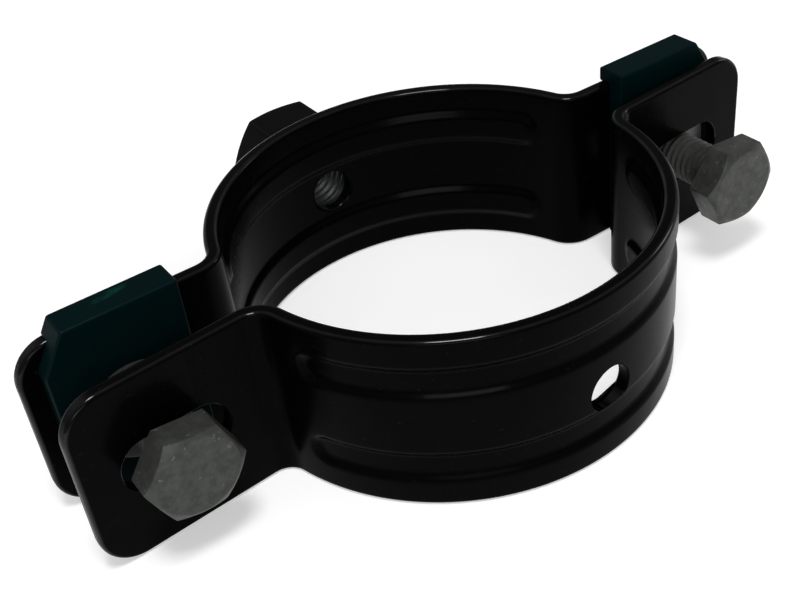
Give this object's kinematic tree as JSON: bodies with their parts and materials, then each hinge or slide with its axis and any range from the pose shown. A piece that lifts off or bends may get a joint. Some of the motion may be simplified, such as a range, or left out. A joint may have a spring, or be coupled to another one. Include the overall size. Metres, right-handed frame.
{
  "type": "two-piece bolted pipe clamp",
  "caption": "Black two-half steel pipe clamp with teal plastic spacers between the bolted ears and a welded hexagonal connection nut.",
  "frame": {"origin": "on the pipe's axis, halfway up the strip", "axes": "+Z along the pipe, +X along the ears, +Y towards the connection nut"},
  "size_m": [0.1692, 0.113, 0.0412],
  "materials": {
    "coated_steel": "gloss",
    "connection_steel": "satin",
    "spacer_plastic": "satin",
    "bolt_steel": "satin",
    "zinc_washer": "satin"
  },
  "bodies": {
    "back_half": {"back_half_shell": "coated_steel", "connection_nut": "connection_steel", "left_spacer": "spacer_plastic", "right_spacer": "spacer_plastic", "left_washer": "zinc_washer", "right_washer": "zinc_washer", "left_nut": "bolt_steel", "right_nut": "bolt_steel"},
    "front_half": {"front_half_shell": "coated_steel"},
    "left_screw": {"left_bolt": "bolt_steel"},
    "right_screw": {"right_bolt": "bolt_steel"}
  },
  "joints": [
    {"name": "left_bolt_draw", "type": "slide", "parent": "back_half", "child": "left_screw", "axis": [0, 1, 0], "range_m": [-0.0025, 0.00884]},
    {"name": "right_bolt_draw", "type": "slide", "parent": "back_half", "child": "right_screw", "axis": [0, 1, 0], "range_m": [-0.0025, 0.0105]},
    {"name": "front_half_swing", "type": "hinge", "parent": "back_half", "child": "front_half", "pos_m": [0.066, 0.0016, 0], "axis": [0, 0, 1], "range_deg": [-4.5, 1.5]}
  ],
  "couplings": [
    {"joint": "front_half_swing", "follows": "left_bolt_draw", "rad_per_m": -7.5814}
  ]
}
